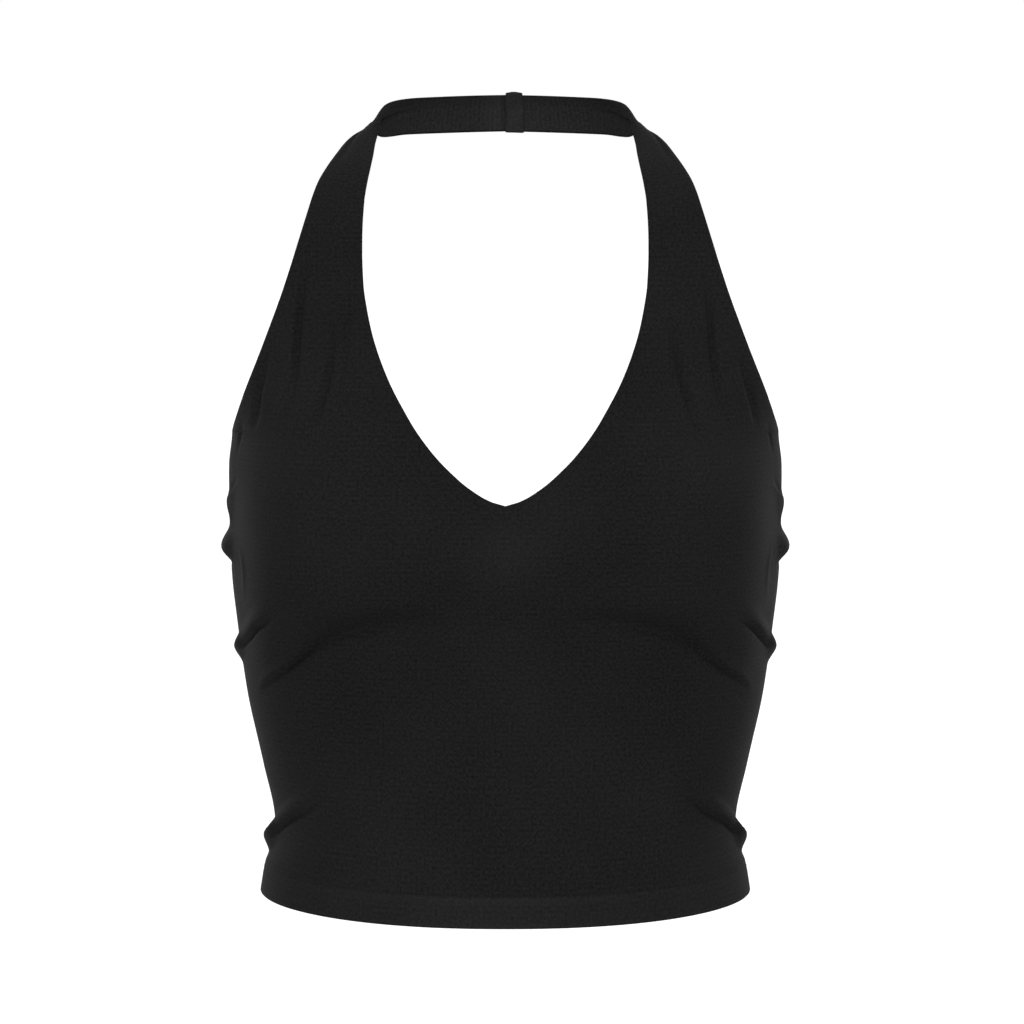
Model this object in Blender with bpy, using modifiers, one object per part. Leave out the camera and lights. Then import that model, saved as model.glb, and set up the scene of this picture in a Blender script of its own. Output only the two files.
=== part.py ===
"""Halter-neck crop top in stretch jersey, worn open and hollow, with no wearer.

The front is one cut: it runs from side seam to side seam, narrows over the chest into two
straps, and the straps turn over the sides of the neck and meet at the nape. The low back
is sewn to it at the side seams. Metres, +Z up, the front faces -Y, and the origin is where
the nape carries the garment.
"""

import math

import bpy
from mathutils import Vector

# Cloth
WALL = 0.0012  # one layer of mid-weight jersey
HEM_WALL = 0.0024  # the hem is turned up once, so it is two layers
HEM_DEPTH = 0.0160
SEAM_GAP = 0.0003  # kept between pieces that are sewn together
SIDE_GAP = 0.0005  # at the side seams' outer face, because the inner edges lean together

# Heights are measured up from the level where the hem starts to turn under at its sides
UNDERARM = 0.2370  # top of both side seams
V_POINT = 0.2039  # bottom of the neckline
STRAP_FOOT = 0.3352  # above this the front follows the strap, not the chest
BACK_SCOOP = 0.0620  # how far the back's top edge dips at the centre
HEM_DROP_SIDE = 0.0038  # how far the hem's edge lies below that level at the sides
HEM_DIP_FRONT = 0.0052  # and how much further it dips at the centre front and back
HEM_DIP_BACK = 0.0020
HEM_DIP_FADE = 0.0800  # the dip has faded out this far above the hem
HEM_CURVE = 1.2  # 1 would dip in proportion to the depth, 2 only towards the centre

# The worn form of the body panels, one row for each level of a general figure
RINGS = [
    # height, half_width, front_depth, back_depth, squareness
    (0.0000, 0.1270, 0.0960, 0.0820, 2.20),
    (0.0170, 0.1228, 0.0920, 0.0785, 2.20),
    (0.0370, 0.1196, 0.0885, 0.0760, 2.20),
    (0.0640, 0.1256, 0.0890, 0.0790, 2.25),
    (0.0950, 0.1327, 0.0905, 0.0840, 2.30),
    (0.1160, 0.1361, 0.0925, 0.0875, 2.30),
    (0.1370, 0.1385, 0.0965, 0.0900, 2.30),
    (0.1580, 0.1410, 0.1015, 0.0920, 2.35),
    (0.1800, 0.1425, 0.1055, 0.0930, 2.40),
    (0.2000, 0.1432, 0.1065, 0.0930, 2.40),
    (0.2200, 0.1424, 0.1030, 0.0925, 2.35),
    (0.2370, 0.1405, 0.0980, 0.0915, 2.30),
    (0.2600, 0.1450, 0.0900, 0.0900, 2.30),
    (0.2850, 0.1500, 0.0790, 0.0880, 2.30),
    (0.3100, 0.1520, 0.0680, 0.0860, 2.30),
    (0.3352, 0.1520, 0.0570, 0.0840, 2.30),
]

# Front edges as seen from the front, from the V to the foot of the strap
NECKLINE = [
    # height, half_width
    (0.2039, 0.0000),
    (0.2069, 0.0090),
    (0.2118, 0.0172),
    (0.2168, 0.0237),
    (0.2266, 0.0338),
    (0.2370, 0.0418),
    (0.2461, 0.0480),
    (0.2656, 0.0586),
    (0.2853, 0.0661),
    (0.3052, 0.0709),
    (0.3200, 0.0726),
    (0.3352, 0.0732),
]
ARMHOLE = [
    # height, half_width
    (0.2370, 0.1405),
    (0.2424, 0.1389),
    (0.2532, 0.1348),
    (0.2638, 0.1306),
    (0.2844, 0.1225),
    (0.3047, 0.1145),
    (0.3200, 0.1094),
    (0.3352, 0.1049),
]

# The strap, from the collarbone over the side of the neck to the nape
STRAP = [
    # neckline edge x, y, z, armhole edge x, y, z
    (0.0732, -0.0440, 0.3453, 0.1020, -0.0385, 0.3450),
    (0.0724, -0.0370, 0.3554, 0.0991, -0.0315, 0.3550),
    (0.0710, -0.0282, 0.3655, 0.0953, -0.0232, 0.3648),
    (0.0693, -0.0188, 0.3752, 0.0906, -0.0140, 0.3736),
    (0.0675, -0.0090, 0.3855, 0.0869, -0.0048, 0.3800),
    (0.0659, 0.0008, 0.3940, 0.0816, 0.0045, 0.3845),
    (0.0640, 0.0110, 0.4012, 0.0735, 0.0145, 0.3872),
    (0.0592, 0.0250, 0.4060, 0.0642, 0.0270, 0.3886),
    (0.0488, 0.0405, 0.4083, 0.0515, 0.0415, 0.3903),
    (0.0330, 0.0530, 0.4092, 0.0345, 0.0538, 0.3914),
    (0.0160, 0.0605, 0.4096, 0.0165, 0.0610, 0.3919),
    (SEAM_GAP / 2, 0.0630, 0.4097, SEAM_GAP / 2, 0.0632, 0.3918),
]
STRAP_CROWN = 0.0016  # how far the middle of the strap stands out from its edges
STRAP_RUN = 0.1  # the share of a section over which the strap's direction is read
NAPE_Y = STRAP[-1][1]  # the middle of the band at the nape
NAPE_Z = (STRAP[-1][2] + STRAP[-1][5]) / 2

# The front is stretched over a bust: a soft mound each side that turns under at its base
CUP_ANGLE = 36.0  # degrees round from the centre front
CUP_HALF_ANGLE = 40.0
CUP_HEIGHT = 0.1900
CUP_BASE = 0.1400
CUP_TOP = 0.2750
CUP_RISE = 0.0150
CUP_TUCK = 2.2  # above 1, so that the mound stays full and then turns in at its base

# The largest folds. Each crosses the side seam from the front panel to the back one
FOLDS = [
    # front_angle, front_height, side_height, back_angle, back_height, rise, side_share, half_width
    (70.0, 0.2020, 0.2020, 106.0, 0.2000, 0.0015, 1.0, 0.0045),
    (64.0, 0.1720, 0.1800, 116.0, 0.1710, 0.0048, 1.0, 0.0058),
    (50.0, 0.1450, 0.1235, 118.0, 0.1180, 0.0034, 1.0, 0.0055),
    (36.0, 0.1400, 0.0760, 100.0, 0.0760, -0.0022, 0.0, 0.0065),
    (48.0, 0.0500, 0.0270, 114.0, 0.0210, 0.0052, 1.0, 0.0055),
]
FOLD_GROWTH = 2.5  # a fold reaches its full rise this many times sooner than its end
SEAM_STIFF_ANGLE = 8.0  # the side seam holds the folds level this far to each side of it

# The seam allowance of the two strap ends, turned to one side at the nape and tacked down
JOIN_WIDTH = 0.0085
JOIN_THICK = 0.0020
JOIN_RAISE = 0.0014  # its top stands above the band

# Mesh
COLUMNS = 12  # from the centre front, or the neckline, to the side
BODY_ROWS = 26  # from the hem to the V
ROWS_A_STEP = 2  # rows to each step of the neckline's table
STRAP_ROWS = 18
BACK_ROWS = 26


def blend(table, column, at):
    """A smooth curve through one column of a table whose first column rises."""
    last = len(table) - 1
    k = 0
    while k < last - 1 and at > table[k + 1][0]:
        k += 1
    before, low = table[max(k - 1, 0)], table[k]
    high, after = table[k + 1], table[min(k + 2, last)]
    span = high[0] - low[0]
    u = min(max((at - low[0]) / span, 0.0), 1.0)
    slope_low = (high[column] - before[column]) / (high[0] - before[0]) * span
    slope_high = (after[column] - low[column]) / (after[0] - low[0]) * span
    return (
        low[column] * (1 + 2 * u) * (1 - u) ** 2
        + slope_low * u * (1 - u) ** 2
        + high[column] * u**2 * (3 - 2 * u)
        - slope_high * u**2 * (1 - u)
    )


def soft(u):
    """1 at u = 0, falling smoothly to 0 at u = 1."""
    u = min(max(abs(u), 0.0), 1.0)
    return (1 + math.cos(math.pi * u)) / 2


def cup_rise(angle, height):
    """How far the bust lifts the front: round above, and turned under at the base."""
    if height <= CUP_BASE or height >= CUP_TOP:
        return 0.0
    if height < CUP_HEIGHT:
        down = (CUP_HEIGHT - height) / (CUP_HEIGHT - CUP_BASE)
        level = 1 - down**CUP_TUCK
    else:
        level = soft((height - CUP_HEIGHT) / (CUP_TOP - CUP_HEIGHT))
    return CUP_RISE * level * soft((angle - CUP_ANGLE) / CUP_HALF_ANGLE)


def fold_rise(angle, height):
    """The sum of the folds at a point of the body."""
    if abs(angle - 90) < SEAM_STIFF_ANGLE:
        angle = 90.0
    total = 0.0
    for front_angle, front_height, side_height, back_angle, back_height, rise, side, wide in FOLDS:
        end_angle, end_height = front_angle, front_height
        if angle > 90:
            end_angle, end_height = back_angle, back_height
        u = (angle - end_angle) / (90 - end_angle)
        if u <= 0:
            continue
        off = height - (end_height + (side_height - end_height) * u)
        grown = min(1.0, FOLD_GROWTH * u)
        total += rise * grown * (1 - (1 - side) * u) * soft(off / (2 * wide))
    return total


def hem_line(angle):
    """The height of the hem's edge, which dips at the centre front and centre back."""
    dip = HEM_DIP_FRONT if angle < 90 else HEM_DIP_BACK
    return -HEM_DROP_SIDE - dip * abs(math.cos(math.radians(angle))) ** HEM_CURVE


def body_point(angle, level):
    """A point of the worn body. The angle runs from 0 at the front to 180 at the back."""
    half_width = blend(RINGS, 1, level)
    depth = blend(RINGS, 2 if angle <= 90 else 3, level)
    power = 2 / blend(RINGS, 4, level)
    side = math.sin(math.radians(angle))
    ahead = math.cos(math.radians(angle))
    x = half_width * max(side, 0.0) ** power
    y = -math.copysign(depth * abs(ahead) ** power, ahead)
    z = level + hem_line(angle) * max(0.0, 1 - level / HEM_DIP_FADE)
    outward = Vector((x / half_width**2, y / depth**2, 0)).normalized()
    rise = cup_rise(angle, level) + fold_rise(angle, level)
    return Vector((x, y, z)) + outward * rise


def angle_at(half_width, level):
    """The angle at which the body's form is this far from the centre."""
    share = min(half_width / blend(RINGS, 1, level), 1.0)
    return math.degrees(math.asin(share ** (blend(RINGS, 4, level) / 2)))


def chest_point(level, across):
    """A point of the front below the strap. across is 0 at the inner edge, 1 at the outer."""
    inner = angle_at(blend(NECKLINE, 1, level), level) if level > V_POINT else 0.0
    outer = angle_at(blend(ARMHOLE, 1, level), level) if level > UNDERARM else 90.0
    return body_point(inner + (outer - inner) * across, level)


def strap_sections():
    """Each section as its place on the strap, then its two edges."""
    foot = []
    for level in (NECKLINE[-2][0], STRAP_FOOT):
        foot.append((*chest_point(level, 0), *chest_point(level, 1)))
    rows = foot + STRAP
    return [(k - 1, *row) for k, row in enumerate(rows)]


def strap_point(sections, place, across):
    """A point of the strap. place is 0 at its foot and rises by 1 for each section."""
    edge = [blend(sections, column, place) for column in range(1, 7)]
    ahead = [blend(sections, column, place + STRAP_RUN) for column in range(1, 7)]
    behind = [blend(sections, column, place - STRAP_RUN) for column in range(1, 7)]
    inner, outer = Vector(edge[:3]), Vector(edge[3:])
    run = Vector(ahead[:3]) - Vector(behind[:3])
    outward = (outer - inner).cross(run).normalized()
    return inner.lerp(outer, across) + outward * STRAP_CROWN * 4 * across * (1 - across)


def add_panel(name, rows, collection, material):
    """An open half panel from its rows of points, mirrored and given its wall."""
    points = [point for row in rows for point in row]
    width = len(rows[0])
    faces = []
    for r in range(len(rows) - 1):
        for c in range(width - 1):
            first = r * width + c
            faces.append((first, first + 1, first + width + 1, first + width))
    mesh = bpy.data.meshes.new(name)
    mesh.from_pydata(points, [], faces)
    panel = bpy.data.objects.new(name, mesh)
    collection.objects.link(panel)
    mesh.materials.append(material)
    mesh.shade_smooth()

    doubled = panel.vertex_groups.new(name="turned_hem")
    turned, _ = hem_levels()
    doubled.add(list(range(len(turned) * width)), 1.0, "REPLACE")
    mirror = panel.modifiers.new("Mirror", "MIRROR")
    mirror.merge_threshold = 0.0001
    wall = panel.modifiers.new("Wall", "SOLIDIFY")
    wall.thickness = HEM_WALL
    wall.offset = -1
    wall.use_even_offset = True
    wall.vertex_group = doubled.name
    wall.thickness_vertex_group = WALL / HEM_WALL
    return panel


def hem_levels():
    """Rows through the doubled hem, and the row just above it where the wall is single."""
    return [0.0, HEM_DEPTH / 2, HEM_DEPTH], HEM_DEPTH + WALL


def front_rows():
    """The front from the hem to the nape, one row of points for each level or section."""
    turned, above = hem_levels()
    step = (V_POINT - above) / (BODY_ROWS - 3)
    levels = turned + [above + step * k for k in range(BODY_ROWS - 2)]
    for low, high in zip(NECKLINE, NECKLINE[1:]):
        for k in range(1, ROWS_A_STEP + 1):
            levels.append(low[0] + (high[0] - low[0]) * k / ROWS_A_STEP)
    rows = []
    for level in levels:
        row = [chest_point(level, c / COLUMNS) for c in range(COLUMNS + 1)]
        if level <= UNDERARM:
            row[-1].y -= SIDE_GAP / 2
        rows.append(row)
    sections = strap_sections()
    for k in range(1, STRAP_ROWS + 1):
        place = k / STRAP_ROWS * len(STRAP)
        rows.append([strap_point(sections, place, c / COLUMNS) for c in range(COLUMNS + 1)])
    return rows


def back_rows():
    """The back from the hem to its scooped top edge."""
    turned, above = hem_levels()
    shares = [k / (BACK_ROWS - 3) for k in range(BACK_ROWS - 2)]
    rows = []
    for index in range(BACK_ROWS + 1):
        row = []
        for c in range(COLUMNS + 1):
            angle = 90 + 90 * c / COLUMNS
            scoop = math.cos(math.radians(angle)) ** 2
            top = UNDERARM - BACK_SCOOP * scoop
            if index < len(turned):
                level = turned[index]
            else:
                level = above + (top - above) * shares[index - len(turned)]
            row.append(body_point(angle, level))
        row[0].y += SIDE_GAP / 2
        rows.append(row)
    return rows


def add_neck_join(strap_rows, collection, material):
    """The tacked allowance, on the inner face of the band's last stretch at the +X side."""
    end, before = strap_rows[-1], strap_rows[-2]
    points = []
    for c in range(COLUMNS + 1):
        corner = end[c]
        if c == 0:
            corner = corner + (end[0] - end[1]).normalized() * JOIN_RAISE
        along = (before[c] - end[c]).normalized() * JOIN_WIDTH
        for point in (corner, corner + along):
            points.append(point + Vector((0, -WALL - SEAM_GAP, 0)))
    faces = [(2 * c, 2 * c + 1, 2 * c + 3, 2 * c + 2) for c in range(COLUMNS)]
    mesh = bpy.data.meshes.new("neck_join")
    mesh.from_pydata(points, [], faces)
    mesh.materials.append(material)
    join = bpy.data.objects.new("neck_join", mesh)
    collection.objects.link(join)
    wall = join.modifiers.new("Wall", "SOLIDIFY")
    wall.thickness = JOIN_THICK
    wall.offset = -1
    return join


def jersey():
    material = bpy.data.materials.new("black_jersey")
    material.use_nodes = True
    shader = material.node_tree.nodes["Principled BSDF"]
    shader.inputs["Base Color"].default_value = (0.012, 0.012, 0.013, 1.0)
    shader.inputs["Roughness"].default_value = 0.85
    shader.inputs["Metallic"].default_value = 0.0
    return material


def main():
    for old in list(bpy.data.objects):
        bpy.data.objects.remove(old)
    top = bpy.data.collections.new("halter_crop_top")
    bpy.context.scene.collection.children.link(top)
    cloth = jersey()
    front = front_rows()
    pieces = [
        add_panel("front_panel", front, top, cloth),
        add_panel("back_panel", back_rows(), top, cloth),
        add_neck_join(front, top, cloth),
    ]
    nape = bpy.data.objects.new("nape", None)
    top.objects.link(nape)
    for piece in pieces:
        piece.parent = nape
        piece.location = (0, -NAPE_Y, -NAPE_Z)


main()
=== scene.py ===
import math

import bpy
import numpy as np
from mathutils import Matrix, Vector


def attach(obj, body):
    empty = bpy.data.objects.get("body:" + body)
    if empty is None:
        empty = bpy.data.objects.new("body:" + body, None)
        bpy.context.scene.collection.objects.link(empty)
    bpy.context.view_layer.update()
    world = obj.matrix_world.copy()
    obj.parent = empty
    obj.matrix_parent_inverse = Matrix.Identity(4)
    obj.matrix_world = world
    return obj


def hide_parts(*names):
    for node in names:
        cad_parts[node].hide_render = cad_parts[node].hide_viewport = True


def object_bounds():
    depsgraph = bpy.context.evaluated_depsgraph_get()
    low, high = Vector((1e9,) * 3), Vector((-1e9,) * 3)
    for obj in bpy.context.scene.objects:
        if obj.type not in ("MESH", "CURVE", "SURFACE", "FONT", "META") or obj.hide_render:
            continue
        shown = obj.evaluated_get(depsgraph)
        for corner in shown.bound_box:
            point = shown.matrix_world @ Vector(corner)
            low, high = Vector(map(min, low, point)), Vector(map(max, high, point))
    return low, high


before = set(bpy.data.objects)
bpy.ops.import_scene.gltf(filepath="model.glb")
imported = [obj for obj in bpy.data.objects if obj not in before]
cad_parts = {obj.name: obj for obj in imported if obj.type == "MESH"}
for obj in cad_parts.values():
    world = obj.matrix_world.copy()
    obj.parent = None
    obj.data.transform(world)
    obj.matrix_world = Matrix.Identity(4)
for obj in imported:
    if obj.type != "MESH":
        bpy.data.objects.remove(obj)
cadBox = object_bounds()
print("frame loaded:", ", ".join(sorted(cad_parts)))


def curveThrough(table, column, at):
    # a smooth curve through one column of a table whose first column rises
    knots = np.array([row[0] for row in table])
    values = np.array([row[column] for row in table])
    at = np.asarray(at, float)
    k = np.clip(np.searchsorted(knots, at) - 1, 0, len(knots) - 2)
    before, after = np.maximum(k - 1, 0), np.minimum(k + 2, len(knots) - 1)
    span = knots[k + 1] - knots[k]
    u = np.clip((at - knots[k]) / span, 0, 1)
    slopeLow = (values[k + 1] - values[before]) / (knots[k + 1] - knots[before]) * span
    slopeHigh = (values[after] - values[k]) / (knots[after] - knots[k]) * span
    low = values[k] * (1 + 2 * u) * (1 - u) ** 2 + slopeLow * u * (1 - u) ** 2
    return low + values[k + 1] * u**2 * (3 - 2 * u) - slopeHigh * u**2 * (1 - u)


def bell(u):
    # 1 at u = 0, falling smoothly to 0 at u = 1
    return (1 + np.cos(np.pi * np.clip(np.abs(u), 0, 1))) / 2


def rampUp(u):
    # 0 below u = 0, rising smoothly to 1 at u = 1
    u = np.clip(u, 0, 1)
    return u**2 * (3 - 2 * u)


def unit(vectors):
    return vectors / np.maximum(np.linalg.norm(vectors, axis=-1, keepdims=True), 1e-12)


# The worn form, measured up from the level where the hem starts to turn under
form = {
    "rings": [
        # height, half width, front depth, back depth, squareness
        (0.0000, 0.1278, 0.0960, 0.0820, 2.20),
        (0.0085, 0.1264, 0.0941, 0.0803, 2.20),
        (0.0140, 0.1254, 0.0928, 0.0792, 2.20),
        (0.0207, 0.1228, 0.0914, 0.0781, 2.20),
        (0.0370, 0.1200, 0.0886, 0.0760, 2.20),
        (0.0640, 0.1258, 0.0890, 0.0790, 2.25),
        (0.0950, 0.1329, 0.0905, 0.0840, 2.30),
        (0.1160, 0.1363, 0.0925, 0.0875, 2.30),
        (0.1370, 0.1390, 0.0965, 0.0900, 2.30),
        (0.1580, 0.1414, 0.1015, 0.0920, 2.35),
        (0.1800, 0.1426, 0.1055, 0.0930, 2.40),
        (0.2000, 0.1429, 0.1065, 0.0930, 2.40),
        (0.2200, 0.1430, 0.1030, 0.0925, 2.35),
        (0.2370, 0.1415, 0.0980, 0.0915, 2.30),
        (0.2600, 0.1450, 0.0900, 0.0900, 2.30),
        (0.2850, 0.1500, 0.0790, 0.0880, 2.30),
        (0.3100, 0.1520, 0.0680, 0.0860, 2.30),
        (0.3352, 0.1520, 0.0570, 0.0840, 2.30),
    ],
    "hemDropSide": 0.0036,  # how far the hem's edge lies below that level at the sides
    "hemDipFront": 0.0065,  # and how much further it dips at the centre front and back
    "hemDipBack": 0.0020,
    "hemDipFade": 0.0800,
    "hemCurve": 1.4,
    "napeDepth": 0.0630,  # where the nape carries it, behind the side seams
    "napeHeight": 0.40075,
    "cupAngle": 36.0,  # degrees round from the centre front
    "cupHalfAngle": 40.0,
    "cupHeight": 0.1900,
    "cupTop": 0.2750,
    "cupRise": 0.0150,
    "cupTuck": 3.0,  # above 1, the mound stays full and then turns in at its base
    "cupSoftness": 0.08,
    "cupSofter": 4.0,  # how much softer its turn is at the centre front
    "cupSofterFrom": 26.0,  # degrees round, where that starts
    "cupSofterOver": 18.0,
    "cupBases": [
        # angle, height of the turn under the bust
        (0, 0.1450), (14, 0.1440), (27, 0.1415), (34, 0.1390), (40, 0.1330),
        (47, 0.1260), (55, 0.1160), (62, 0.1070), (70, 0.1010), (90, 0.1000),
    ],
    "seamStiffAngle": 16.0,  # the side seam keeps the folds near level, and frees them this far away
    "foldGrowth": 2.5,
    "foldSeamHalf": 16.0,  # degrees each side of the seam where the folds bulge more
    "foldSeamFade": 12.0,
    "folds": [
        # front angle and height, side height, back angle and height, rise, half width above the
        # crest and below it, sag (above 1, it droops towards the side), share of the rise further in
        (72.0, 0.2010, 0.1990, 106.0, 0.2000, 0.0014, 0.0042, 0.0044, 1.0, 0.3),
        (66.0, 0.1735, 0.1768, 114.0, 0.1700, 0.0048, 0.0060, 0.0039, 1.0, 0.2),
        (49.0, 0.1520, 0.1246, 118.0, 0.1180, 0.0034, 0.0037, 0.0048, 1.2, 0.4),
        (46.0, 0.0585, 0.0290, 114.0, 0.0240, 0.0051, 0.0029, 0.0053, 1.0, 0.4),
    ],
}


def hemLine(angle):
    dip = np.where(angle < 90, form["hemDipFront"], form["hemDipBack"])
    swing = np.abs(np.cos(np.radians(angle))) ** form["hemCurve"]
    return -form["hemDropSide"] - dip * swing


def ringPoint(angle, level):
    # a point of the plain form, and the way out from it. The angle is 0 in front, 180 behind
    rings = form["rings"]
    halfWidth = curveThrough(rings, 1, level)
    depth = np.where(angle <= 90, curveThrough(rings, 2, level), curveThrough(rings, 3, level))
    power = 2 / curveThrough(rings, 4, level)
    side = np.clip(np.sin(np.radians(angle)), 0, None)
    ahead = np.cos(np.radians(angle))
    x = halfWidth * side**power
    y = -np.sign(ahead) * depth * np.abs(ahead) ** power
    z = level + hemLine(angle) * np.clip(1 - level / form["hemDipFade"], 0, None)
    outward = unit(np.stack([x / halfWidth**2, y / depth**2, 0 * x], -1))
    return np.stack([x, y, z + 0 * x], -1), outward


def cupLift(angle, level):
    base = curveThrough(form["cupBases"], 1, angle)
    down = np.clip((form["cupHeight"] - level) / (form["cupHeight"] - base), 0, 1.5)
    under = 1 - down ** form["cupTuck"]
    softer = rampUp((form["cupSofterFrom"] - angle) / form["cupSofterOver"])
    soft = form["cupSoftness"] * (1 + form["cupSofter"] * softer)
    under = (under + np.hypot(under, soft)) / (1 + np.hypot(1, soft))
    over = bell((level - form["cupHeight"]) / (form["cupTop"] - form["cupHeight"]))
    rise = np.where(level < form["cupHeight"], under, over)
    return form["cupRise"] * rise * bell((angle - form["cupAngle"]) / form["cupHalfAngle"])


def foldLift(angle, level):
    # the largest folds, which cross the side seams
    fromSeam = angle - 90
    angle = 90 + fromSeam * rampUp(np.abs(fromSeam) / form["seamStiffAngle"])
    total = np.zeros(np.broadcast(angle, level).shape)
    for frontAngle, frontHeight, sideHeight, backAngle, backHeight, *shape in form["folds"]:
        rise, above, below, sag, inner = shape
        endAngle = np.where(angle > 90, backAngle, frontAngle)
        endHeight = np.where(angle > 90, backHeight, frontHeight)
        u = np.clip((angle - endAngle) / (90 - endAngle), 0, 1)
        off = level - (sideHeight + (endHeight - sideHeight) * (1 - u) ** sag)
        nearSeam = rampUp((form["foldSeamHalf"] - np.abs(angle - 90)) / form["foldSeamFade"])
        grown = rampUp(form["foldGrowth"] * u) * (inner + (1 - inner) * nearSeam)
        total += rise * grown * bell(off / (2 * np.where(off > 0, above, below)))
    return total


def bodyPoint(angle, level):
    point, outward = ringPoint(angle, level)
    lift = cupLift(angle, level) + foldLift(angle, level)
    return point + outward * lift[..., None], outward


def angleAt(halfWidth, level):
    share = np.clip(halfWidth / curveThrough(form["rings"], 1, level), 0, 1)
    return np.degrees(np.arcsin(share ** (curveThrough(form["rings"], 4, level) / 2)))


roundAngles = np.linspace(0, 180, 721)  # every quarter degree


def girthAt(level):
    # length round the plain form from the centre front, for each of roundAngles
    ring = ringPoint(roundAngles, level)[0]
    return np.concatenate([[0], np.cumsum(np.linalg.norm(np.diff(ring, axis=0), axis=1))])


def bodyRoute(route):
    # (angle, height in mm) on the body to (mm round, mm up) on the flat cloth
    return [(np.interp(angle, roundAngles, girthAt(height / 1000)) * 1000, height)
            for angle, height in route]


def smoothLine(points):
    knots = [(k, *point) for k, point in enumerate(points)]
    at = np.linspace(0, len(points) - 1, 8 * (len(points) - 1) + 1)
    return np.stack([curveThrough(knots, 1, at), curveThrough(knots, 2, at)], -1)


def offRoute(line, across, up):
    # signed distance from a line, positive on its left, and the share of its length
    steps = np.linalg.norm(np.diff(line, axis=0), axis=1)
    runs = np.concatenate([[0], np.cumsum(steps)])
    nearest = np.full(across.shape, 1e9)
    share = np.zeros(across.shape)
    side = np.zeros(across.shape)
    for k, step in enumerate(steps):
        along = (line[k + 1] - line[k]) / max(step, 1e-9)
        dx, dy = across - line[k][0], up - line[k][1]
        t = np.clip(dx * along[0] + dy * along[1], 0, step)
        off = np.hypot(dx - t * along[0], dy - t * along[1])
        closer = off < nearest
        nearest = np.where(closer, off, nearest)
        share = np.where(closer, (runs[k] + t) / runs[-1], share)
        side = np.where(closer, np.sign(along[0] * dy - along[1] * dx), side)
    return nearest * np.where(side < 0, -1, 1), share


def placeCreases(creases, placed=bodyRoute):
    return [(*crease[:-1], smoothLine(placed(crease[-1]))) for crease in creases]


def creaseLift(creases, across, up):
    # millimetres that each point of the cloth stands out or sinks. Each crease is a trough of some
    # depth and width, beside a swell that climbs steeply from it and dies away over its reach. The
    # swell stands on the left of the route, or on its right if negative. Peak is where it is deepest
    lift = np.zeros(across.shape)
    for depth, width, swell, reach, peak, line in creases:
        margin = 3 * max(width, reach)
        low, high = line.min(0) - margin, line.max(0) + margin
        near = (across > low[0]) & (across < high[0]) & (up > low[1]) & (up < high[1])
        if not near.any():
            continue
        off, share = offRoute(line, across[near], up[near])
        strength = np.where(share < peak, share / peak, (1 - share) / (1 - peak))
        strength = rampUp(strength) ** 0.7  # deep for most of its length
        trough = -depth * np.exp(-((off / width) ** 2))
        crest = 1.6 * width  # how far from the route the swell is highest
        out = off * (-1 if swell < 0 else 1)
        fall = np.exp(-((np.clip(out - crest, 0, None) / reach) ** 2))
        lift[near] += strength * (trough + abs(swell) * rampUp(out / crest) * fall)
    return lift


def panelCreases(panel, side):
    return placeCreases(sideCreases[side] + panel["rightCreases" if side > 0 else "leftCreases"])


def normalsOf(points, faces):
    mesh = bpy.data.meshes.new("scratch")
    mesh.from_pydata(points.tolist(), [], faces)
    mesh.update()
    normals = np.zeros(len(points) * 3, np.float32)
    mesh.vertex_normals.foreach_get("vector", normals)
    bpy.data.meshes.remove(mesh)
    return normals.reshape(-1, 3).astype(float)


def openEdges(faces):
    edges = set()
    for face in faces:
        edges.update(zip(face, face[1:] + face[:1]))
    return [edge for edge in sorted(edges) if (edge[1], edge[0]) not in edges]


def giveWall(points, faces, thickness, rimSteps=4):
    # the cloth's thickness inwards, with its edges rounded over
    normals = normalsOf(points, faces)
    count = len(points)
    rim = openEdges(faces)
    away = np.zeros((count, 3))
    for a, b in rim:
        out = unit(np.cross(points[b] - points[a], normals[a] + normals[b]))
        away[a] += out
        away[b] += out
    away = unit(away)
    inner = points - normals * thickness[:, None]
    edge = sorted({v for pair in rim for v in pair})
    place = {v: k for k, v in enumerate(edge)}
    allPoints, source = [points, inner], [np.arange(count), np.arange(count)]
    middle = points[edge] - normals[edge] * thickness[edge, None] / 2
    for step in range(1, rimSteps):
        turn = math.pi * step / rimSteps
        reach = normals[edge] * math.cos(turn) + away[edge] * math.sin(turn)
        allPoints.append(middle + reach * thickness[edge, None] / 2)
        source.append(np.array(edge))

    def onRim(v, step):
        if step == 0:
            return v
        if step == rimSteps:
            return v + count
        return 2 * count + (step - 1) * len(edge) + place[v]

    inside = [[v + count for v in reversed(face)] for face in faces]
    rims = []
    for a, b in rim:
        for step in range(rimSteps):
            rims.append([onRim(b, step), onRim(a, step), onRim(a, step + 1), onRim(b, step + 1)])
    return np.concatenate(allPoints), faces + rims, inside, np.concatenate(source)


def meshObject(name, points, faces, slots, slotOfFace):
    mesh = bpy.data.meshes.new(name)
    mesh.from_pydata((points - [0, form["napeDepth"], form["napeHeight"]]).tolist(), [], faces)
    for slot in slots:
        mesh.materials.append(materials[slot])
    mesh.polygons.foreach_set("material_index", slotOfFace)
    mesh.shade_smooth()
    mesh.update()
    piece = bpy.data.objects.new(name, mesh)
    bpy.context.scene.collection.objects.link(piece)
    return piece


def clothObject(name, points, faces, thickness, flat, paintedHighlight):
    # flat holds each point's place on the flat cut, in metres, which the knit follows. The last argument
    # is how much lighter the cloth is painted at each point: a highlight painted into its colour at the
    # hem, below the V, at the strap ends and on the neck join
    allPoints, outside, inside, source = giveWall(points, faces, thickness)
    reverse = [0] * len(outside) + [1] * len(inside)
    piece = meshObject(name, allPoints, outside + inside, ["jersey", "jerseyReverse"], reverse)
    cut = np.concatenate([flat, np.zeros((len(flat), 1))], 1)[source]
    attribute = piece.data.attributes.new("cut", "FLOAT_VECTOR", "POINT")
    attribute.data.foreach_set("vector", cut.ravel())
    attribute = piece.data.attributes.new("paintedHighlight", "FLOAT", "POINT")
    attribute.data.foreach_set("value", paintedHighlight[source])
    return piece


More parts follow.
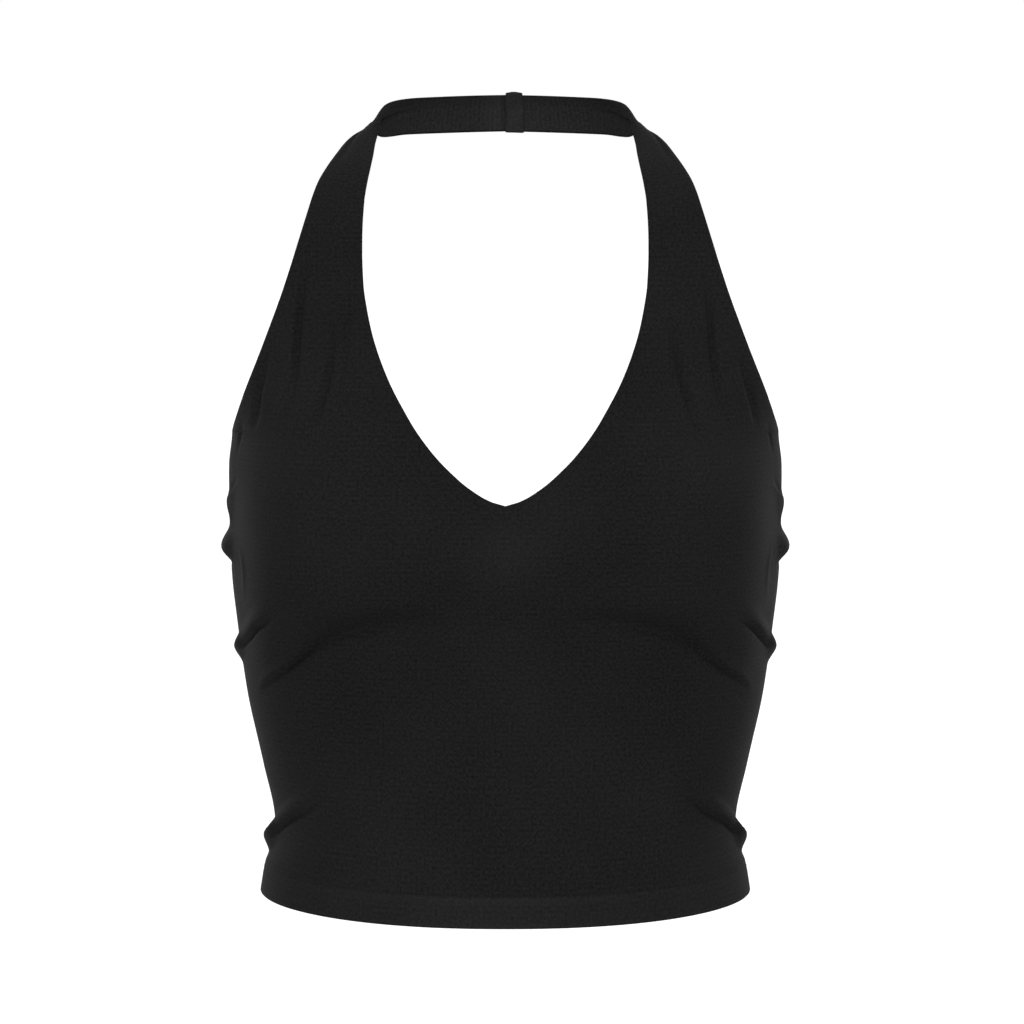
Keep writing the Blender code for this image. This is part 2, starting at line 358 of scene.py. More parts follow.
def walk(low, high, steps):
    # levels from low to high, with the spacing that steps gives at each height
    heights = [step[0] for step in steps]
    sizes = [step[1] for step in steps]
    levels = [low]
    while levels[-1] < high:
        levels.append(levels[-1] + float(np.interp(levels[-1], heights, sizes)))
    scale = (high - low) / (levels[-1] - low)
    return [low + (level - low) * scale for level in levels]


def linear(hexColour):
    # an sRGB hex value as the linear colour that shaders take
    channels = [int(hexColour[k:k + 2], 16) / 255 for k in (1, 3, 5)]
    return tuple(c / 12.92 if c <= 0.04045 else ((c + 0.055) / 1.055) ** 2.4 for c in channels) + (1,)


def addNode(tree, kind, links=(), **settings):
    # a node with its settings, and links as (input, node, output)
    node = tree.nodes.new(kind)
    for name, value in settings.items():
        if name.startswith("set"):
            node.inputs[int(name[3:])].default_value = value
        else:
            setattr(node, name, value)
    for target, source, output in links:
        tree.links.new(source.outputs[output], node.inputs[target])
    return node


knit = {
    "wale": 0.0021,  # real jersey has 0.6 mm wales. Drawn coarser so that they show
    "course": 0.0024,
    "heightMm": 0.12,
    "slant": 1.6,  # how far the two legs of each stitch lean into a V
    "fuzz": 700.0,  # cotton fibres stand out about a millimetre apart
    "patch": 14.0,  # dye and wear vary over about 70 mm
    "sheen": 0.032,
    # how much the stitches and the fuzz count in the cloth's height, and that and the painted highlight
    # in its tone
    "stitchShare": 0.35,
    "fuzzShare": 4.0,
    "heightShare": 0.55,
    "highlightShare": 0.2,
    "toneRange": (1.0, 3.4),
}


def jerseyMaterial(name, colours, slant):
    # cotton and elastane single jersey, piece dyed black: matt, with a soft grey bloom where it
    # turns away. The colours are the bottom and the top of its stitches
    material = bpy.data.materials.new(name)
    material.use_nodes = True
    tree = material.node_tree
    shader = tree.nodes["Principled BSDF"]
    shader.inputs["Roughness"].default_value = 0.85
    shader.inputs["IOR"].default_value = 1.5
    shader.inputs["Specular IOR Level"].default_value = 0.06
    shader.inputs["Sheen Weight"].default_value = knit["sheen"]
    shader.inputs["Sheen Roughness"].default_value = 0.42
    shader.inputs["Sheen Tint"].default_value = linear("#c4c4c3")
    cut = addNode(tree, "ShaderNodeAttribute", attribute_name="cut")
    place = addNode(tree, "ShaderNodeSeparateXYZ", [(0, cut, "Vector")])
    wale = addNode(tree, "ShaderNodeMath", [(0, place, "X")], operation="DIVIDE", set1=knit["wale"])
    wale = addNode(tree, "ShaderNodeMath", [(0, wale, 0)], operation="FRACT")
    wale = addNode(tree, "ShaderNodeMath", [(0, wale, 0)], operation="SUBTRACT", set1=0.5)
    leg = addNode(tree, "ShaderNodeMath", [(0, wale, 0)], operation="ABSOLUTE")
    lean = addNode(tree, "ShaderNodeMath", [(0, leg, 0)], operation="MULTIPLY", set1=slant)
    course = addNode(tree, "ShaderNodeMath", [(0, place, "Y")], operation="DIVIDE", set1=knit["course"])
    course = addNode(tree, "ShaderNodeMath", [(0, course, 0), (1, lean, 0)], operation="SUBTRACT")
    course = addNode(tree, "ShaderNodeMath", [(0, course, 0)], operation="MULTIPLY", set1=math.tau)
    course = addNode(tree, "ShaderNodeMath", [(0, course, 0)], operation="SINE")
    ridge = addNode(tree, "ShaderNodeMath", [(0, leg, 0)], operation="MULTIPLY", set1=math.tau)
    ridge = addNode(tree, "ShaderNodeMath", [(0, ridge, 0)], operation="SINE")
    stitch = addNode(tree, "ShaderNodeMath", [(0, course, 0), (1, ridge, 0), (2, ridge, 0)],
                     operation="MULTIPLY_ADD")
    fuzz = addNode(tree, "ShaderNodeTexNoise", [(0, cut, "Vector")], noise_dimensions="3D",
                   set2=knit["fuzz"], set3=2.0)
    stitch = addNode(tree, "ShaderNodeMath", [(0, stitch, 0)], operation="MULTIPLY",
                     set1=knit["stitchShare"])
    height = addNode(tree, "ShaderNodeMath", [(0, fuzz, 0), (2, stitch, 0)],
                     operation="MULTIPLY_ADD", set1=knit["fuzzShare"])
    patch = addNode(tree, "ShaderNodeTexNoise", [(0, cut, "Vector")], noise_dimensions="3D",
                    set2=knit["patch"], set3=3.0)
    tone = addNode(tree, "ShaderNodeMath", [(0, height, 0), (2, patch, 0)],
                   operation="MULTIPLY_ADD", set1=knit["heightShare"])
    low, high = knit["toneRange"]
    tone = addNode(tree, "ShaderNodeMapRange", [(0, tone, 0)], clamp=False, set1=low, set2=high)
    # a painted highlight, kept on the cloth's points, lightens the colour here
    paintedHighlight = addNode(tree, "ShaderNodeAttribute", attribute_name="paintedHighlight")
    tone = addNode(tree, "ShaderNodeMath", [(0, paintedHighlight, "Fac"), (2, tone, 0)],
                   operation="MULTIPLY_ADD", set1=knit["highlightShare"])
    blend = addNode(tree, "ShaderNodeMix", [(0, tone, 0)], data_type="RGBA")
    blend.inputs[6].default_value = linear(colours[0])
    blend.inputs[7].default_value = linear(colours[1])
    tree.links.new(blend.outputs[2], shader.inputs["Base Color"])
    bump = addNode(tree, "ShaderNodeBump", [("Height", height, 0)])
    bump.inputs["Strength"].default_value = 0.7
    bump.inputs["Distance"].default_value = knit["heightMm"] / 1000
    tree.links.new(bump.outputs[0], shader.inputs["Normal"])
    return material


def threadMaterial(name, colours):
    # spun polyester sewing thread, dyed to match: a little smoother and lighter than the knit. The
    # colours are the hollows and the tops of its twist
    material = bpy.data.materials.new(name)
    material.use_nodes = True
    tree = material.node_tree
    shader = tree.nodes["Principled BSDF"]
    shader.inputs["Roughness"].default_value = 0.75
    shader.inputs["IOR"].default_value = 1.5
    shader.inputs["Specular IOR Level"].default_value = 0.06
    place = addNode(tree, "ShaderNodeTexCoord")
    twist = addNode(tree, "ShaderNodeTexNoise", [(0, place, "Object")], noise_dimensions="3D",
                    set2=2500.0, set3=1.0)
    blend = addNode(tree, "ShaderNodeMix", [(0, twist, 0)], data_type="RGBA")
    blend.inputs[6].default_value = linear(colours[0])
    blend.inputs[7].default_value = linear(colours[1])
    tree.links.new(blend.outputs[2], shader.inputs["Base Color"])
    return material


def paperMaterial(name, colour):
    # a matt white paper sweep, lit a little from behind
    material = bpy.data.materials.new(name)
    material.use_nodes = True
    shader = material.node_tree.nodes["Principled BSDF"]
    shader.inputs["Base Color"].default_value = linear(colour)
    shader.inputs["Roughness"].default_value = 0.9
    shader.inputs["Emission Color"].default_value = (1, 1, 1, 1)
    shader.inputs["Emission Strength"].default_value = 0.25
    return material


materials = {
    "jersey": jerseyMaterial("blackCottonJersey", ("#0b0b0b", "#272727"), knit["slant"]),
    "jerseyReverse": jerseyMaterial("blackCottonJerseyReverse", ("#141414", "#323232"), 0.0),
    "thread": threadMaterial("blackPolyesterThread", ("#0a0a0a", "#242424")),
    "floor": paperMaterial("whitePaperSweep", "#f6f6f6"),
}
print("materials made")


# Folds that cross the side seams, with their troughs. Both panels follow them
sideCreases = {
    # depth, width, swell and reach in mm, peak, route of (angle, height in mm)
    1: [
        (3.6, 1.4, 0.8, 4.0, 0.36,
         [(49, 146), (56, 141.5), (61, 138), (67, 133.5), (75, 128), (81, 124.3), (87, 121)]),
        (3.1, 1.15, 0.7, 4.0, 0.50,
         [(42, 57), (49, 52), (54.5, 47), (59, 44), (66, 40), (70.5, 37), (77, 32.5), (82, 28.5),
          (88, 25)]),
        (0.6, 1.8, 0.0, 5.0, 0.50, [(78, 168), (85, 169), (92, 168), (110, 162)]),
    ],
    -1: [
        (3.7, 1.4, 0.8, 4.0, 0.38,
         [(48, 147), (56, 141), (61, 138), (67, 133), (75, 128), (81, 124.3), (87, 121)]),
        (3.1, 1.2, 0.8, 4.0, 0.50,
         [(43, 56), (48.5, 52), (54, 47), (59, 44), (65.5, 40), (70, 37), (76, 33), (82, 28.5),
          (88, 25)]),
        (0.6, 1.8, 0.0, 5.0, 0.50, [(78, 168), (85, 169), (92, 168), (114, 164)]),
    ],
}

frontPanel = {
    "columns": 96,  # from the centre front, or the neckline, to the side
    "crowd": 0.35,  # draws the columns towards the side, where the creases are
    "wall": 0.0010,
    "edgeWall": 0.0016,  # the neckline, armholes and straps are turned, so they are fuller
    "edgeReach": 0.0070,  # the fuller cloth ends this far in, and thins out over edgeFade
    "edgeFade": 0.0055,
    "edgeRoll": 0.0006,  # how far their edges turn inwards
    "rollReach": 0.0035,
    "seamFade": 0.0030,  # beside the side seam, the fuller cloth thins out over this
    "hemTurn": 0.0180,
    "hemRadius": 0.00105,
    "hemNeedles": (0.0113, 0.0137),
    "underarm": 0.2370,
    "thinAbove": 0.2390,  # every second column goes on above this level
    "strapFoot": 0.3352,
    "stretched": (0.020, 0.016, 0.182),  # half width, half height and middle of a patch below the V that is painted lighter as a highlight
    "stretchedPale": 0.9,
    "seamLap": 0.00015,  # each panel goes this far past the side seam, so that no light comes through
    "edgeSamples": 260,  # places where its neckline and armhole are worked out
    "rowSteps": [
        # height, spacing of the rows there
        (0.0, 0.0016), (0.0095, 0.0014), (0.0103, 0.0007), (0.0165, 0.0007), (0.0175, 0.0015),
        (0.055, 0.0015), (0.07, 0.0024), (0.09, 0.0020), (0.10, 0.0013), (0.15, 0.0013),
        (0.165, 0.0015), (0.2020, 0.0015), (0.2032, 0.0006), (0.2100, 0.0007), (0.2150, 0.0015),
        (0.2358, 0.0006), (0.2385, 0.0015), (0.25, 0.0016), (0.30, 0.0020), (0.34, 0.0026),
    ],
    "neckline": [
        # height, half width
        (0.2040, 0.0000), (0.2068, 0.0082), (0.2118, 0.0164), (0.2168, 0.0227),
        (0.2266, 0.0326), (0.2370, 0.0411), (0.2461, 0.0474), (0.2656, 0.0585),
        (0.2853, 0.0661), (0.3052, 0.0706), (0.3200, 0.0723), (0.3352, 0.0726),
    ],
    "armhole": [
        (0.2366, 0.1430), (0.2376, 0.1415), (0.2424, 0.1397), (0.2532, 0.1355), (0.2638, 0.1313),
        (0.2844, 0.1230), (0.3047, 0.1154), (0.3200, 0.1102), (0.3352, 0.1056),
    ],
    "strap": [
        # neckline edge x, y, z, armhole edge x, y, z
        (0.0723, -0.0468, 0.3453, 0.1026, -0.0406, 0.3453),
        (0.0716, -0.0400, 0.3554, 0.0997, -0.0343, 0.3554),
        (0.0701, -0.0312, 0.3655, 0.0961, -0.0263, 0.3655),
        (0.0686, -0.0220, 0.3732, 0.0918, -0.0175, 0.3732),
        (0.0675, -0.0125, 0.3794, 0.0875, -0.0080, 0.3794),
        (0.0669, -0.0050, 0.3845, 0.0835, 0.0015, 0.3846),
        (0.0664, 0.0000, 0.3876, 0.0791, 0.0100, 0.3888),
        (0.0661, 0.0035, 0.3903, 0.0751, 0.0160, 0.3912),
        (0.0659, 0.0080, 0.3946, 0.0726, 0.0210, 0.3923),
        (0.0653, 0.0130, 0.4000, 0.0693, 0.0260, 0.3903),
        (0.0634, 0.0220, 0.4047, 0.0660, 0.0295, 0.3879),
        (0.0586, 0.0330, 0.4073, 0.0612, 0.0370, 0.3878),
        (0.0502, 0.0440, 0.4088, 0.0541, 0.0455, 0.3889),
        (0.0396, 0.0520, 0.4095, 0.0432, 0.0526, 0.3894),
        (0.0186, 0.0605, 0.4104, 0.0201, 0.0607, 0.3902),
        (0.0000, 0.0630, 0.4108, 0.0000, 0.0632, 0.3907),
    ],
    "strapCrown": 0.0016,
    "strapRows": 72,
    "strapEase": 9,  # rows each side of the strap's foot that are eased into one another
    "strapMm": 20.0,  # creases take every strap as this wide
    "endHighlight": 0.9,  # the ends are doubled where they meet, and their colour is painted lighter over this reach as a highlight
    "endHighlightReach": 0.018,
    "rightCreases": [
        (4.2, 4.6, 1.2, 9.0, 0.50,
         [(8, 147), (22, 144.5), (29, 141.5), (36, 137), (43, 128.5), (50, 120)]),
        (2.6, 1.3, 2.2, 4.2, 0.55,
         [(30, 141), (36.5, 136.5), (41, 131), (45, 125.5), (50, 119), (54.5, 115), (61.5, 109),
          (68, 103)]),
        (0.5, 1.2, 0.0, 3.0, 0.60, [(52, 114), (57, 107.5), (62, 102), (66, 98)]),
        (4.2, 1.9, 0.4, 5.0, 0.45,
         [(39, 318), (40.3, 299), (41.7, 281), (43.6, 268), (45.6, 254), (48.2, 238)]),
        (4.2, 1.7, -0.4, 5.0, 0.66,
         [(30, 302), (31.6, 283), (33.5, 271), (35, 261), (37, 251), (39.6, 234)]),
        (3.0, 2.1, -0.5, 5.0, 0.66, [(48.5, 285), (52, 272), (55.3, 262), (58, 254), (61, 240)]),
        (1.1, 2.2, 0.0, 5.0, 0.50, [(68.5, 243), (72, 235), (72, 225)]),
        (1.3, 1.5, -0.7, 3.0, 0.70, [(69, 214), (78, 208), (86, 203)]),
        (1.4, 1.5, -0.8, 3.0, 0.50, [(79.5, 200), (81, 193), (79.5, 184)]),
        (-0.8, 2.4, 0.0, 4.0, 0.40, [(70, 181), (66.5, 171), (67, 160), (71, 150)]),
        (0.5, 3.0, 0.3, 6.0, 0.50, [(10, 214), (22, 216), (34, 212)]),
        (0.3, 5.0, 0.0, 8.0, 0.50, [(6, 96), (22, 92), (40, 80)]),
    ],
    "leftCreases": [
        (4.6, 4.8, 1.3, 9.0, 0.48,
         [(10, 147), (22, 144.5), (29.5, 141.5), (36, 137.5), (43, 129), (50, 120)]),
        (2.6, 1.35, 2.3, 4.2, 0.55,
         [(30, 141), (37, 136), (41, 131), (45, 125.5), (50, 119.3), (54.7, 114.6),
          (61.7, 109), (68, 103.5)]),
        (4.4, 2.0, 0.5, 5.0, 0.48,
         [(39.5, 328), (40.2, 305), (41.4, 290), (43, 275), (45, 259), (48, 237)]),
        (4.2, 1.7, -0.3, 5.0, 0.66,
         [(31, 300), (32.8, 280), (34.3, 268), (36, 257), (37.5, 248), (39.2, 236)]),
        (1.8, 1.7, 0.0, 4.0, 0.40, [(27.5, 313), (29, 290), (30.6, 270), (33, 249)]),
        (3.2, 2.2, -0.5, 5.0, 0.68,
         [(48.5, 287), (52, 276), (54.8, 267), (57.8, 257), (59.6, 247), (61.7, 238)]),
        (1.3, 2.2, 0.0, 5.0, 0.50, [(68.5, 244), (72.5, 235), (73, 225)]),
        (1.3, 1.5, -0.7, 3.0, 0.70, [(69, 215), (77, 209), (86, 203)]),
        (1.5, 1.6, -0.9, 3.0, 0.50, [(79, 201), (80.5, 194), (79, 185)]),
        (-0.9, 2.4, 0.0, 4.0, 0.40, [(70, 181), (66, 171), (67, 160), (71, 150)]),
        (0.6, 3.0, 0.4, 6.0, 0.50, [(9, 212), (20, 215), (33, 214)]),
        (0.3, 5.0, 0.0, 8.0, 0.50, [(8, 74), (20, 84), (38, 88)]),
    ],
    # on the straps, a route is (mm from the neckline edge, mm up from the strap's foot)
    "strapCreases": [
        (0.9, 1.6, -0.5, 4.0, 0.60, [(15.0, 44), (14.5, 62), (15.5, 76), (16.5, 88)]),
        (-2.6, 1.7, 0.0, 4.0, 0.30, [(14.0, 90), (12.5, 100), (10.5, 110), (8.5, 122), (8, 134)]),
        (-0.4, 1.3, 0.0, 4.0, 0.40, [(17.0, 104), (17.3, 116), (17.0, 128)]),
        (-0.5, 1.6, 0.0, 4.0, 0.50, [(4.5, 96), (4.0, 112), (4.5, 132)]),
    ],
}


hem = {
    "turnedRows": 9,
    "foldTurns": (150, 120, 90, 60, 30),  # degrees round its fold
    # a highlight painted into the hem band's colour
    "paintedHighlight": 0.9,
    "needleHighlight": 0.6,  # more, between its needle rows
    "needleFade": 0.0010,
    "foldHighlight": 0.4,  # more, at its fold
    "foldReach": 0.0040,
    "highlightEnd": 0.0008,  # above the upper needle row
    "highlightFade": 0.0012,
    "sideHighlight": 0.35,  # the share of it that stays at the sides
    "sideReach": 0.085,
    "needleHalf": 0.0008,  # the groove that each needle row pulls in
    "needleDepth": 0.00022,
}


def hemRows(spec, levels):
    # rows as (level, inset, drop, height on the cut): the hem's raw edge inside, round its fold,
    # and then up the outside
    radius = spec["hemRadius"]
    rows = []
    for level in np.linspace(spec["hemTurn"], radius, hem["turnedRows"]):
        rows.append((level, 2 * radius, 0.0, radius - math.pi * radius - (level - radius)))
    for turn in hem["foldTurns"]:
        bend = math.radians(turn)
        inset, drop = radius * (1 - math.cos(bend)), radius * math.sin(bend)
        rows.append((radius, inset, drop, radius - radius * bend))
    return rows + [(level, 0.0, 0.0, level) for level in levels]


def hemHighlight(spec, level, across):
    # a highlight painted into the doubled hem's colour, lightest between its needle rows and at its fold,
    # and less towards the sides
    low, high = spec["hemNeedles"]
    between = rampUp((level - low) / hem["needleFade"] + 1) * hem["needleHighlight"]
    shade = hem["paintedHighlight"] + between + hem["foldHighlight"] * bell(level / hem["foldReach"])
    sides = hem["sideHighlight"] + (1 - hem["sideHighlight"]) * bell(across / hem["sideReach"])
    return rampUp((high + hem["highlightEnd"] - level) / hem["highlightFade"]) * shade * sides


def frontHighlight(spec, across, level):
    # painted highlights: on the doubled hem, and on the cloth stretched flat over the breastbone
    width, height, middle = spec["stretched"]
    off = (across / width) ** 2 + ((level - middle) / height) ** 2
    return hemHighlight(spec, level, across) + spec["stretchedPale"] * np.exp(-off)


def columnShares(spec):
    steps = np.linspace(0, 1, spec["columns"] + 1)
    return steps + spec["crowd"] * steps * (1 - steps)


def edgeLine(spec, table, side):
    # a cut edge on the flat cloth as (level, across), moved into the cloth by half its thickness
    levels = np.linspace(table[0][0], table[-1][0], spec["edgeSamples"])
    across = []
    for level in levels:
        angle = angleAt(curveThrough(table, 1, level), level)
        across.append(float(np.interp(angle, roundAngles, girthAt(level))))
    into = unit(np.stack([np.gradient(levels), -np.gradient(across)], -1)) * side
    trim = spec["edgeWall"] / 2
    return levels - np.abs(into[:, 1]) * trim, np.array(across) + into[:, 0] * trim


def turnedEdge(spec, distance):
    # the wall's thickness, and how far the cloth turns in, at this distance from a turned edge
    fuller = rampUp((spec["edgeReach"] - distance) / spec["edgeFade"])
    roll = spec["edgeRoll"] * np.clip(1 - distance / spec["rollReach"], 0, 1) ** 2
    return spec["wall"] + (spec["edgeWall"] - spec["wall"]) * fuller, roll


def needleLift(spec, level):
    # the twin needles pull the hem in along their two rows
    off = (level - np.array(spec["hemNeedles"])) / hem["needleHalf"]
    return -hem["needleDepth"] * float(np.exp(-(off**2)).sum())


def frontGrid(spec, side):
    # rows of the +X half from the centre front or the neckline (column 0) to the side. The -X half
    # is made here too, with its own creases, and mirrored later
    creases = panelCreases(spec, side)
    neckLevels, neckAcross = edgeLine(spec, spec["neckline"], 1)
    armLevels, armAcross = edgeLine(spec, spec["armhole"], -1)
    levels = walk(spec["hemRadius"], spec["strapFoot"], spec["rowSteps"])
    nearV = int(np.argmin([abs(level - neckLevels[0]) for level in levels]))
    levels[nearV] = neckLevels[0]
    shares = columnShares(spec)
    grid = []
    rows = hemRows(spec, levels)
    for level, inset, drop, height in rows:
        girth = girthAt(level)
        seam = float(np.interp(90, roundAngles, girth)) + spec["seamLap"] - spec["wall"] / 2
        inner, outer = 0.0, seam
        if level > neckLevels[0]:
            inner = float(np.interp(level, neckLevels, neckAcross))
        if level > armLevels[0]:
            outer = min(seam, float(np.interp(level, armLevels, armAcross)))
        across = inner + (outer - inner) * shares
        angle = np.interp(across, girth, roundAngles)
        point, outward = bodyPoint(angle, np.full(angle.shape, level))
        edges = [np.hypot(across[:, None] - line, level - at).min(1)
                 for at, line in ((neckLevels, neckAcross), (armLevels, armAcross))]
        wall, roll = turnedEdge(spec, np.minimum(*edges) + spec["edgeWall"] / 2)
        # the turned edge's fuller wall gives way to the seam's, except right at the underarm
        fade = rampUp((seam - across) / spec["seamFade"])
        fade = np.maximum(fade, rampUp((level - spec["underarm"]) / spec["edgeReach"] + 1))
        wall = spec["wall"] + (wall - spec["wall"]) * fade
        lift = creaseLift(creases, across * 1000, np.full(angle.shape, level * 1000)) / 1000
        lift += needleLift(spec, level) - roll - inset
        point = point + outward * lift[:, None]
        point[:, 2] -= drop
        flat = np.stack([across, np.full(across.shape, height)], -1)
        grid.append((level, point, flat, wall, frontHighlight(spec, across, level)))
    return grid


def strapSections(spec):
    # the two edges of the strap at each section, with its distance from the foot
    rows = []
    for level in (spec["neckline"][-2][0], spec["strapFoot"]):
        edges = []
        for table in (spec["neckline"], spec["armhole"]):
            angle = angleAt(curveThrough(table, 1, level), level)
            edges.extend(bodyPoint(angle, np.asarray(level))[0])
        rows.append(edges)
    rows = np.array(rows + [list(row) for row in spec["strap"]])
    middle = (rows[:, :3] + rows[:, 3:]) / 2
    runs = np.concatenate([[0], np.cumsum(np.linalg.norm(np.diff(middle, axis=0), axis=1))])
    return [(run - runs[1], *row) for run, row in zip(runs, rows)]


def strapRow(spec, sections, creases, distance, shares):
    # points across the strap at this distance from its foot, and the way out from it
    edges = [np.array([curveThrough(sections, c, distance + step) for c in range(1, 7)])
             for step in (0, -0.002, 0.002)]
    inner, outer = edges[0][:3], edges[0][3:]
    outward = unit(np.cross(outer - inner, edges[2][:3] - edges[1][:3] + edges[2][3:] - edges[1][3:]))
    width = np.linalg.norm(outer - inner)
    trim = spec["edgeWall"] / 2 / width
    shares = trim + (1 - 2 * trim) * shares
    wall, roll = turnedEdge(spec, width * np.minimum(shares, 1 - shares))
    lift = spec["strapCrown"] * 4 * shares * (1 - shares) - roll
    places = np.full(shares.shape, distance * 1000)
    lift += creaseLift(creases, shares * spec["strapMm"], places) / 1000
    return inner + (outer - inner) * shares[:, None] + outward * lift[:, None], outward, wall


def strapGrid(spec, flatStart):
    sections = strapSections(spec)
    creases = placeCreases(spec["strapCreases"], list)
    shares = columnShares(spec)
    length = sections[-1][0]
    grid = []
    for k in range(1, spec["strapRows"] + 1):
        distance = length * k / spec["strapRows"]
        row, _, wall = strapRow(spec, sections, creases, distance, shares)
        run = np.concatenate([[0], np.cumsum(np.linalg.norm(np.diff(row, axis=0), axis=1))])
        flat = np.stack([flatStart[0] + run, np.full(run.shape, flatStart[1] + distance)], -1)
        # a highlight painted into the colour towards the strap's end
        paintedHighlight = spec["endHighlight"] * bell((length - distance) / spec["endHighlightReach"])
        grid.append((1.0 + distance / length, row, flat, wall, np.full(run.shape, paintedHighlight)))
    return grid


def easeRows(points, joint, reach):
    # takes out the corner where two stretches of rows meet
    for k in range(3 * reach):
        middle = points[joint - reach:joint + reach + 1]
        sides = points[joint - reach - 1:joint + reach] + points[joint - reach + 1:joint + reach + 2]
        points[joint - reach:joint + reach + 1] = middle / 2 + sides / 4
    return points


def gridFaces(rowsOfIndex, flip):
    # quads between rows of vertex numbers. Where the next row has every second column, they
    # take in the odd point between
    faces = []
    for low, high in zip(rowsOfIndex, rowsOfIndex[1:]):
        if len(low) == len(high):
            for c in range(len(low) - 1):
                faces.append([low[c], low[c + 1], high[c + 1], high[c]])
        else:
            for c in range(len(high) - 1):
                faces.append([low[2 * c], low[2 * c + 1], low[2 * c + 2], high[c + 1], high[c]])
    return [face[::-1] for face in faces] if flip else faces


def sewHalves(name, grids, isMiddle, thinAbove):
    # one cloth from its two halves, which share the points on the centre line
    points, flats, walls, highlights, faces = [], [], [], [], []
    middle = {}
    for side, grid in grids.items():
        numbers = []
        for r, (level, row, flat, wall, paintedHighlight) in enumerate(grid):
            line = []
            for c in range(0, len(row), 2 if level > thinAbove else 1):
                if isMiddle(level, c) and (r, c) in middle:
                    line.append(middle[r, c])
                    continue
                if isMiddle(level, c):
                    middle[r, c] = len(points)
                line.append(len(points))
                points.append((side * row[c][0], row[c][1], row[c][2]))
                flats.append((side * flat[c][0], flat[c][1]))
                walls.append(wall[c])
                highlights.append(paintedHighlight[c])
            numbers.append(line)
        faces += gridFaces(numbers, side < 0)
    return clothObject(name, np.array(points), faces, np.array(walls), np.array(flats), np.array(highlights))


def makeFront(spec):
    grids = {}
    for side in (1, -1):
        grid = frontGrid(spec, side)
        foot = len(grid) - 1
        grid += strapGrid(spec, grid[-1][2][0])
        eased = easeRows(np.array([row[1] for row in grid]), foot, spec["strapEase"])
        grids[side] = [(row[0], points, *row[2:]) for row, points in zip(grid, eased)]
    lowest = edgeLine(spec, spec["neckline"], 1)[0][0] + 1e-9

    def isMiddle(level, c):
        # the strap's last row, which strapGrid calls level 2, and column 0 below the V
        return level > 1.999 or (c == 0 and level <= lowest)

    return sewHalves("frontPanel", grids, isMiddle, spec["thinAbove"])


front = makeFront(frontPanel)
print("front panel:", len(front.data.polygons), "faces")


backPanel = {
    "columns": 72,
    "crowd": -0.30,  # below 0, draws them towards the first column, at the side
    "wall": 0.0010,
    "edgeWall": 0.0016,
    "edgeReach": 0.0070,
    "edgeFade": 0.0055,
    "edgeRoll": 0.0005,
    "rollReach": 0.0035,
    "seamFade": 0.0030,
    "hemTurn": 0.0180,
    "hemRadius": 0.00105,
    "hemNeedles": (0.0113, 0.0137),
    "underarm": 0.2370,
    "scoop": 0.0620,  # how far its top edge dips at the centre back
    "seamLap": 0.00015,
    "rowSteps": [(0.0, 0.0017), (0.0095, 0.0014), (0.0103, 0.0008), (0.0165, 0.0008),
                 (0.0180, 0.0016), (0.15, 0.0016), (0.25, 0.0019)],
    "rightCreases": [
        (3.4, 2.3, 1.2, 9.0, 0.40, [(104, 98), (108, 96), (124, 86), (142, 80), (160, 82)]),
        (2.8, 2.0, 1.0, 8.0, 0.55, [(104, 74), (122, 64), (144, 60), (168, 64)]),
        (2.5, 1.8, 0.9, 7.0, 0.35, [(106, 130), (112, 128), (128, 118), (148, 112)]),
        (2.0, 1.7, 0.8, 7.0, 0.50, [(100, 152), (116, 146), (134, 150)]),
        (1.7, 1.8, 0.7, 6.0, 0.50, [(118, 206), (128, 188), (134, 166)]),
        (1.2, 2.8, 0.4, 7.0, 0.50, [(120, 40), (146, 36), (172, 40)]),
    ],
    "leftCreases": [
        (3.2, 2.2, 1.2, 9.0, 0.45, [(103, 94), (106, 92), (120, 84), (138, 82), (158, 88)]),
        (3.0, 2.1, 1.0, 8.0, 0.45, [(106, 68), (126, 58), (150, 56), (174, 62)]),
        (2.2, 1.8, 0.9, 7.0, 0.40, [(104, 125), (110, 122), (126, 114), (142, 111)]),
        (2.0, 1.7, 0.8, 7.0, 0.50, [(102, 158), (118, 150), (140, 148)]),
        (1.8, 1.8, 0.7, 6.0, 0.50, [(114, 212), (124, 192), (131, 172)]),
        (1.0, 2.8, 0.4, 7.0, 0.50, [(124, 44), (150, 38), (170, 36)]),
    ],
}


def backGrid(spec, side):
    # rows of the +X half from the side seam (column 0) to the centre back, each curved like the
    # panel's top edge
    creases = panelCreases(spec, side)
    trim = spec["edgeWall"] / 2
    bottom = spec["hemRadius"]
    levels = walk(bottom, spec["underarm"] - trim, spec["rowSteps"])
    shares = columnShares(spec)
    grid = []
    for level, inset, drop, height in hemRows(spec, levels):
        girth = girthAt(level)
        seam = float(np.interp(90, roundAngles, girth)) - spec["seamLap"] + spec["wall"] / 2
        across = seam + (girth[-1] - seam) * shares
        angle = np.interp(across, girth, roundAngles)
        top = spec["underarm"] - trim - spec["scoop"] * np.cos(np.radians(angle)) ** 2
        share = 0.0 if inset else (level - bottom) / (spec["underarm"] - trim - bottom)
        lifted = level + (top - spec["underarm"] + trim) * share
        point, outward = bodyPoint(angle, lifted)
        wall, roll = turnedEdge(spec, top - lifted + trim)
        wall = spec["wall"] + (wall - spec["wall"]) * rampUp((across - seam) / spec["seamFade"])
        lift = creaseLift(creases, across * 1000, lifted * 1000) / 1000
        lift += needleLift(spec, level) - roll - inset
        point = point + outward * lift[:, None]
        point[:, 2] -= drop
        flat = np.stack([across, np.full(across.shape, height) if inset else lifted], -1)
        grid.append((level, point, flat, wall, hemHighlight(spec, level, across)))
    return grid


def makeBack(spec):
    grids = {side: backGrid(spec, side) for side in (1, -1)}
    last = spec["columns"]
    return sewHalves("backPanel", grids, lambda level, c: c == last, 1.0)


back = makeBack(backPanel)
print("back panel:", len(back.data.polygons), "faces")


